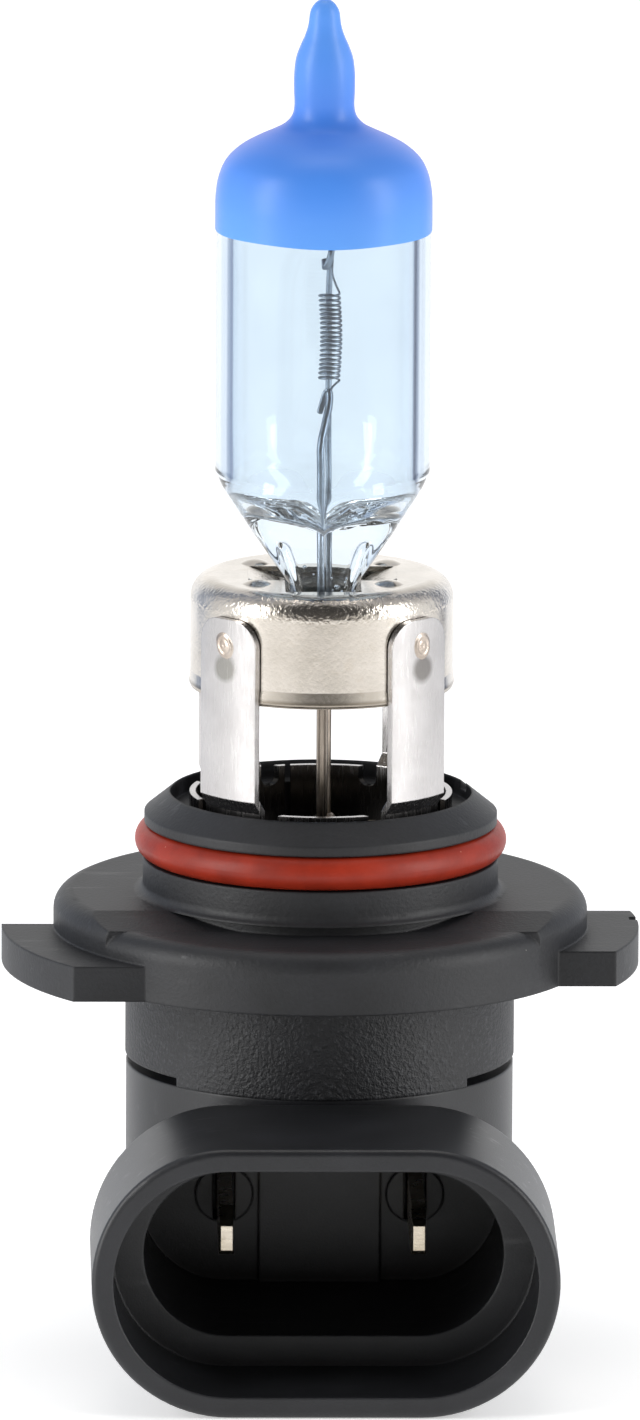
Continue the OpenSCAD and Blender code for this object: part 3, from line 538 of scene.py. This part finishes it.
# %% Outside of the glass
columns = 144
angle = np.linspace(0, 2 * math.pi, columns, endpoint=False)
glass_low, glass_high = np.array(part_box("glass_envelope")) / MM
glass_r = glass_high[0]
pinch_foot = glass_low[2]
tip_end = glass_high[2] - 0.08  # leaves room for the coat on the tip
pinch_half_x, pinch_half_y = 1.85, 5.0
dome_foot = 38.6                # mm; the straight tube ends here


def ease(low, high, value):
    """Smooth step: 0 below low, 1 above high, and 3t^2 - 2t^3 between them."""
    t = np.clip((value - low) / (high - low), 0, 1)
    return t * t * (3 - 2 * t)


# Half width across X at a height, from the pinch up to the tube
shoulder = smooth([
    (12, pinch_half_x), (16.6, pinch_half_x), (17.4, 1.87), (18.2, 2.05), (19.0, 2.6), (19.94, 3.3),
    (20.8, 3.97), (21.5, 4.48), (22.1, 4.95), (22.8, 5.45), (23.3, 5.74), (23.9, 5.93),
    (24.6, glass_r), (60, glass_r)], 300)


def half_width(z):
    """Half width of the envelope across X at the height z, read off the shoulder's curve."""
    return np.minimum(np.interp(z, shoulder[:, 0], shoulder[:, 1]), glass_r)


def section(a, b, n):
    """Superellipse through (a, 0) and (0, b) with exponent n, as columns of x and y."""
    c, s = np.cos(angle)[None, :], np.sin(angle)[None, :]
    a, b, n = (np.asarray(v, float).reshape(-1, 1) for v in (a, b, n))
    return a * np.sign(c) * np.abs(c) ** (2 / n), b * np.sign(s) * np.abs(s) ** (2 / n)


# The pinch's lower edge is rounded by foot_r, its wall is dense where the width changes, and the outline
# of the dome and the exhaust tip is a curve through pairs of radius and height.
foot_r = 0.4
foot_round = np.linspace(0, math.pi / 2, 7)
foot_share = np.concatenate([[0.0, 0.5], 1 - foot_r / pinch_half_x * (1 - np.sin(foot_round))])
foot_z = np.concatenate([[pinch_foot, pinch_foot], pinch_foot + foot_r * (1 - np.cos(foot_round))])
wall_z = np.concatenate([
    np.linspace(pinch_foot + 0.5, 17, 10), np.linspace(17.15, 24.5, 60), np.linspace(25, dome_foot, 28)])
outline = smooth([
    (6.0, dome_foot), (5.98, 39.5), (5.82, 40.5), (5.42, 41.4), (4.7, 42.1), (3.8, 42.62), (2.95, 43.02),
    (2.25, 43.4), (1.78, 43.9), (1.62, 44.5), (1.64, 45.4), (1.64, 46.3), (1.54, 47.2), (1.3, 47.9),
    (1.04, 48.5), (0.86, 49.1), (0.76, tip_end - 0.7), (0.54, tip_end - 0.28), (0.25, tip_end - 0.06),
    (0.0, tip_end)], 110)
outline[:, 0] = np.maximum(outline[:, 0], 0)
z = np.concatenate([foot_z, wall_z, outline[1:, 1]])
a = np.concatenate([foot_share * half_width(foot_z), half_width(wall_z), outline[1:, 0]])
b_wall = pinch_half_y + (glass_r - pinch_half_y) * ease(20.4, 23.8, wall_z)
b = np.concatenate([pinch_half_y * (1 - (1 - foot_share) * 0.35) * (foot_share > 0), b_wall, outline[1:, 0]])
n = 2 + 3 * (1 - ease(19.0, 23.4, z))
x, y = section(a, b, n)
level = np.broadcast_to(z[:, None], x.shape)
# The press leaves four rounded ribs where its jaws meet, slanting in along both sides, front and back.
rib_line = 1.55 + 0.33 * (level - 18)
rib_height, rib_width = 0.34, 0.26
rib = (rib_height * np.exp(-((np.abs(x) - rib_line) / rib_width) ** 2)
       * ease(16.6, 17.4, level) * (1 - ease(20.3, 20.9, level)))
hand = 0.05 * waves(x, y, level, 5, 3) * ease(17, 19, level) * (1 - ease(24, 27, level))
y = y + np.sign(y) * (rib + hand)
envelope_outside = np.stack([x, y, level], axis=-1)
print("glass outside:", envelope_outside.shape[:2], "points")

# %% [markdown]
# Inside, the pinch folds the chamber's floor into a crease between two soft wings. The floor's
# height is that crease, 0.75 (1 - e^(-|x| / 0.6)), plus a quarter circle up to the wall, plus the
# small wrinkles of glass that set while it was being pressed. Light that crosses them makes the
# glittering band above the pinch.

# %% Inside of the glass
bore_r = glass_r - 0.95  # the wall is 0.95 mm thick
floor_r = 4.6
share = np.linspace(0, 1, 56)[:, None]
corner = np.clip((share - 0.86) / 0.14, 0, 1)
floor_x, floor_y = floor_r * share * np.cos(angle), floor_r * share * np.sin(angle)
crease = 0.75 * (1 - np.exp(-np.abs(floor_x) / 0.6))
wrinkle = (0.3 * waves(floor_x / 3, floor_y, 0, 1.9, 5) + 0.16 * waves(floor_x / 2, floor_y, 0, 0.9, 8)
           + 0.06 * waves(floor_x, floor_y, 0, 0.6, 12)) * (1 - np.exp(-np.abs(floor_x) / 0.5))
floor_z = 21.1 + crease + wrinkle * (1 - share**8) + 0.35 * (1 - np.sqrt(1 - corner**2))
floor = np.stack([floor_x, floor_y, floor_z], axis=-1)
rise = np.linspace(0.05, 1, 20)[:, None]
wall_height = floor_z[-1:] + (23.5 - floor_z[-1:]) * rise
grow = np.sin(rise * math.pi / 2)
side_r = floor_r + (bore_r - floor_r) * grow
side_wall = np.stack([side_r * np.cos(angle), side_r * np.sin(angle), wall_height], axis=-1)
dome_top = 42.3
inner = smooth([
    (bore_r, 24.2), (bore_r, 32), (bore_r, dome_foot), (5.0, 39.6), (4.6, 40.7), (3.7, 41.5), (2.4, 42.0),
    (0.6, dome_top)], 60)
inner = np.concatenate([inner, [[0, dome_top]]])
inner_z = np.broadcast_to(inner[:, 1:], (len(inner), columns))
dome_inside = np.stack([inner[:, :1] * np.cos(angle), inner[:, :1] * np.sin(angle), inner_z], axis=-1)
chamber = np.concatenate([floor, side_wall, dome_inside])
print("glass inside:", chamber.shape[:2], "points")


# %% Bubbles in the pinch
def ball(centre, radius):
    """Closed ball: rings of radius r sin(t) at height -r cos(t)."""
    t = np.linspace(0, math.pi, 9)[:, None]
    a = np.linspace(0, 2 * math.pi, 12, endpoint=False)[None, :]
    shell = np.stack([np.sin(t) * np.cos(a), np.sin(t) * np.sin(a), -np.cos(t) + 0 * a], axis=-1)
    return np.asarray(centre) + radius * shell


random = np.random.default_rng(11)
bubbles = [
    ball((side * random.uniform(0.4, 1.3), random.uniform(-4, -1), random.uniform(17.4, 19.4)),
         random.uniform(0.06, 0.15))
    for side in (-1, 1, 1, 1, -1, 1, 1, 1, 1)
]
envelope = make_piece("glass_body", [(envelope_outside, False, False), (chamber, False, True)]
                      + [(bubble, False, True) for bubble in bubbles])
envelope.data.materials.append(hard_glass)
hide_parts("glass_envelope")

# %% [markdown]
# ## The blue coat
#
# The coat is a film on the glass, so its shape is the glass outline pushed out along its own
# normals. Its lower edge is the waterline of the dip and wavers by less than a tenth of a millimetre.

# %% Coat over the dome and the tip
def pushed(line, distance):
    """An outline moved outwards along its normals, which are its slope turned a quarter turn."""
    slope = unit(np.gradient(line, axis=0))
    moved = line + distance * np.stack([slope[:, 1], -slope[:, 0]], axis=-1)
    moved[-1, 0] = 0
    moved[:, 0] = np.maximum(moved[:, 0], 0)
    return moved


coat_low = 37.55
coat_wall = np.stack([np.full(8, glass_r), np.linspace(coat_low, 38.5, 8)], axis=-1)
coat_line = np.concatenate([coat_wall, outline])
skin_out, skin_in = pushed(coat_line, 0.055), pushed(coat_line, 0.004)
coat = np.concatenate([skin_in[::-1], skin_out])
waterline = 0.05 * np.sin(2 * angle + 1) + 0.03 * np.sin(5 * angle)
coat_z = coat[:, 1:] + waterline[None, :] * (1 - ease(coat_low, 38.4, coat[:, 1:]))
coat_grid = np.stack([coat[:, :1] * np.cos(angle), coat[:, :1] * np.sin(angle), coat_z], axis=-1)
coat_piece = make_piece("blue_coat", [(coat_grid, False, False)])
coat_piece.data.materials.append(blue_film)
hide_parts("blue_coating")

# %% [markdown]
# ## Filament and leads
#
# The filament is tungsten wire wound on a mandrel: a helix of 19 turns. In CAD it is a coarse
# helix, and here it gets round wire, a slight bow from its first burn, and tails that run into
# the hooks. A helix point is (r cos t, r sin t) with its height growing steadily with t.

# %% Filament
wire_d = 0.13
coil_x, coil_middle, coil_length, coil_r, turns = 0.33, 31.5, 4.9, 0.57, 19
t = np.linspace(0, 1, turns * 26 + 1)
bow = coil_x + 0.12 * np.sin(math.pi * t)
uneven = 0.02 * np.sin(2 * math.pi * t * 3.3)
helix = np.stack([
    bow + coil_r * np.cos(2 * math.pi * turns * t), coil_r * np.sin(2 * math.pi * turns * t),
    coil_middle + coil_length * (t - 0.5) + uneven], axis=-1)
low, high = helix[0], helix[-1]
lower_tail = smooth([
    (0.22, -0.72, 27.35), (0.28, -0.6, 28.1), (0.5, -0.45, 28.7), low - (0.02, 0.16, 0.02), low], 24)[:-1]
upper_tail = smooth([
    high, high + (-0.03, 0.2, 0.06), (0.66, 0.35, 34.5), (0.5, 0.5, 35.0), (0.52, 0.62, 35.7)], 24)[1:]
filament_path = np.concatenate([lower_tail, helix, upper_tail])
axis_x = np.concatenate([
    np.full(len(lower_tail), bow[0] - 0.4), bow, np.full(len(upper_tail), bow[-1] - 0.4)])
radial = filament_path - np.stack([axis_x, 0 * axis_x, filament_path[:, 2]], axis=-1)
filament_wire = sweep(filament_path, radial, wire_d, wire_d, 10)
filament = make_piece("filament_helix", [(filament_wire, False, False)])
filament.data.materials.append(tungsten)
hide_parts("filament_coil")

# %% [markdown]
# The leads are molybdenum, which grips hard glass. Each ends in a hook that was squeezed flat on
# the filament's tail, so the wire's section widens and flattens along the fold.

# %% Long and short lead
side = np.array([1.0, 0.0, 0.0])
splice = pinch_foot - 0.5


def clamp_section(count, flat_from, round_d, wide, thin):
    """Width and depth along a lead: round up to the share flat_from of its path, then squeezed."""
    squeeze = ease(flat_from, min(flat_from + 0.08, 1), np.linspace(0, 1, count))
    return round_d + (wide - round_d) * squeeze, round_d + (thin - round_d) * squeeze


lead_steps = 150
long_path = smooth([
    (0.36, 2.5, splice), (0.36, 2.5, 20), (0.37, 2.5, 28), (0.36, 2.46, 33), (0.4, 2.1, 34.9),
    (0.46, 1.45, 36.0), (0.5, 0.85, 36.4), (0.44, 0.55, 36.2), (0.3, 0.55, 35.6), (0.14, 0.6, 35.3),
    (0.1, 0.8, 35.7)], lead_steps)
long_wire = sweep(long_path, side, *clamp_section(lead_steps, 0.72, 0.36, 0.42, 0.22))
long_lead = make_piece("long_lead", [(long_wire, False, False)])
short_path = smooth([
    (-0.12, -2.5, splice), (-0.12, -2.5, 18), (-0.16, -2.5, 24.4), (-0.14, -2.3, 25.8), (0.08, -1.7, 26.8),
    (0.3, -1.05, 27.7), (0.34, -0.78, 28.4), (0.2, -0.72, 28.55), (0.02, -0.78, 28.1),
    (-0.18, -0.9, 27.4)], lead_steps)
short_wire = sweep(short_path, side, *clamp_section(lead_steps, 0.7, 0.42, 0.34, 0.2))
short_lead = make_piece("short_lead_wire", [(short_wire, False, False)])
for lead, node in ((long_lead, "support_lead"), (short_lead, "short_lead")):
    lead.data.materials.append(molybdenum)
    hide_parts(node)

# %% [markdown]
# ## Weld nuggets
#
# A spot weld leaves the electrode's print: a shallow dish with a raised rim and a small pip. The
# print is drawn on the leg's cylinder: its radius is the leg's own plus the print's height.

# %% Spot welds
weld_low, weld_high = np.array(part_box("spot_welds")) / MM
weld_z = (weld_low[2] + weld_high[2]) / 2
leg_r = 7.79   # mm; outside of the bracket's legs
edge_r = 0.7   # mm; edge of a print
print_r = np.concatenate([np.linspace(0, edge_r, 6), np.linspace(edge_r, 0, 22)])[:, None]
# Its height above the leg: a rim at 0.5 mm, a dish inside it, a pip in the middle, nothing at the edge.
rim = 0.055 * np.exp(-((print_r - 0.5) / 0.09) ** 2)
pip = 0.05 * np.exp(-(((print_r - 0.16) / 0.17) ** 2))
print_top = (0.012 + rim + pip)[6:] * (1 - ease(0.6, edge_r, print_r[6:]))
print_height = np.concatenate([np.full((6, 1), -0.05), print_top])
around = np.linspace(0, 2 * math.pi, 32, endpoint=False)[None, :]
prints = []
for number, leg in enumerate(math.radians(a) for a in (45, 135, 225, 315)):
    shift = 0.07 * np.cos(2 * around + number) * (print_r / edge_r)
    along, up = (print_r + shift) * np.cos(around), (print_r + shift) * np.sin(around)
    r = leg_r + print_height + 0.008 * waves(along, up, number, 0.5, number)
    turned = leg + along / leg_r
    weld = np.stack([r * np.cos(turned), r * np.sin(turned), weld_z + up], axis=-1)
    prints.append((weld, False, False))
welds = make_piece("weld_prints", prints, sharp=60)
welds.data.materials.append(weld_metal)
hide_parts("spot_welds")

# %% [markdown]
# ## The light
#
# Small shiny things are photographed in a light tent: white cloth on all sides, so that metal has
# something even to mirror. The world is that tent. Cloth that glows the same everywhere would
# leave glass invisible, because glass only bends what is behind it. So the tent is darker in two
# bands behind the bulb, left and right, which draw the edges of the glass, and under its roof.

# %% The tent
scene = bpy.context.scene
scene.view_settings.view_transform = "Standard"
scene.view_settings.look = "None"
world = bpy.data.worlds.new("light_tent")
scene.world = world
world.use_nodes = True
tent = world.node_tree
tent.nodes.clear()
direction = add(tent, "ShaderNodeTexCoord").outputs["Generated"]
parts = add(tent, "ShaderNodeSeparateXYZ", links={"Vector": direction}).outputs
azimuth = add(tent, "ShaderNodeMath", links={0: parts["X"], 1: parts["Y"]}, operation="ARCTAN2")
turn = add(tent, "ShaderNodeMapRange", {"From Min": -math.pi, "From Max": math.pi},
           {"Value": azimuth.outputs["Value"]})
round_wall = add(tent, "ShaderNodeValToRGB", links={"Fac": turn.outputs["Result"]})
round_wall.color_ramp.interpolation = "EASE"
# The middle of the ramp is straight behind the bulb, and its ends are at the camera.
set_stops(round_wall, [
    (0.0, "#efebe5"), (0.1, "#e2e0dc"), (0.2, "#f4f4f4"), (0.3, "#e0e2e6"), (0.352, "#b4bfd2"),
    (0.368, "#7f8ca6"), (0.385, "#a4afc2"), (0.41, "#f4f8ff"), (0.47, "#ffffff"), (0.53, "#ffffff"),
    (0.6, "#f4f8ff"), (0.622, "#8590a6"), (0.634, "#36415a"), (0.645, "#8790a4"), (0.665, "#e0e2e6"),
    (0.8, "#f4f4f4"), (0.9, "#e2e0dc"), (1.0, "#efebe5")])
height = add(tent, "ShaderNodeMapRange", {"From Min": -1.0, "From Max": 1.0}, {"Value": parts["Z"]})
up_wall = add(tent, "ShaderNodeValToRGB", links={"Fac": height.outputs["Result"]})
set_stops(up_wall, [(0.0, "#ffffff"), (0.62, "#ffffff"), (0.8, "#d0d0d0"), (1.0, "#b8b8ba")])
cloth = add(tent, "ShaderNodeMix", {"Factor": 1.0},
            {"A": round_wall.outputs["Color"], "B": up_wall.outputs["Color"]},
            data_type="RGBA", blend_type="MULTIPLY")
# The opening in the front of the tent, above the lens, is a dark round hole with a soft rim.
hole_direction = (0.0, -0.82, 0.57)
to_hole = add(tent, "ShaderNodeVectorMath", {1: hole_direction}, {0: direction}, operation="DOT_PRODUCT")
hole = add(tent, "ShaderNodeMapRange", {"From Min": 0.6, "From Max": 0.88, "To Max": 0.92},
           {"Value": to_hole.outputs["Value"]}, interpolation_type="SMOOTHSTEP")
opened = add(tent, "ShaderNodeMix", {"B": linear("#1c1c1e")},
             {"Factor": hole.outputs["Result"], "A": cloth.outputs["Result"]}, data_type="RGBA")
glow = add(tent, "ShaderNodeBackground", {"Strength": 1.2}, {"Color": opened.outputs["Result"]})
add(tent, "ShaderNodeOutputWorld", links={"Surface": glow.outputs["Background"]})
print("tent nodes:", len(tent.nodes))


# %% Two soft boxes and a top light
def soft_box(name, position, size, power, tint):
    """Rectangular lamp at position, in metres, that faces the bulb."""
    lamp = bpy.data.lights.new(name, "AREA")
    lamp.shape = "RECTANGLE"
    lamp.size, lamp.size_y = size
    lamp.energy = power
    lamp.color = linear(tint)[:3]
    box = bpy.data.objects.new(name, lamp)
    scene.collection.objects.link(box)
    box.location = position
    box.rotation_euler = (-box.location).to_track_quat("-Z", "Y").to_euler()


soft_box("left_box", (-0.44, -0.2, 0.16), (0.14, 0.42), 1.3, "#ffffff")
soft_box("right_box", (0.44, -0.18, 0.16), (0.14, 0.42), 1.05, "#ffffff")
soft_box("roof_box", (0.0, 0.1, 0.55), (0.3, 0.16), 0.4, "#fffaf2")
print("lamps:", len(bpy.data.lights))

# %% [markdown]
# ## The table
#
# The bulb stands on its socket on plain white acrylic. The sheet glows a little from below, as a
# photographer's light table does, so that it stays white in the picture.

# %% Light table
bottom = cad_box[0].z
table_r = 0.2  # metres
ring = np.linspace(0, 2 * math.pi, 65)[:-1]
disc = np.stack([table_r * np.cos(ring), table_r * np.sin(ring), np.full(64, bottom - 0.02 * MM)], axis=-1)
table_mesh = bpy.data.meshes.new("light_table")
table_mesh.from_pydata(disc, [], [list(range(64))])
table = bpy.data.objects.new("light_table", table_mesh)
scene.collection.objects.link(table)
acrylic, tree, place = new_material("white_acrylic")
mist = add(tree, "ShaderNodeTexNoise", {"Scale": 1 / (80 * MM)}, {"Vector": place})
white = add(tree, "ShaderNodeValToRGB", links={"Fac": mist.outputs["Fac"]})
set_stops(white, [(0.0, "#f6f6f6"), (1.0, "#fafafa")])
finish_material(tree, {"Roughness": 0.6, "Emission Strength": 0.45, "Emission Color": linear("#ffffff")},
                {"Base Color": white.outputs["Color"]})
table_mesh.materials.append(acrylic)
print("table:", round(2 * table_r / MM), "mm across")
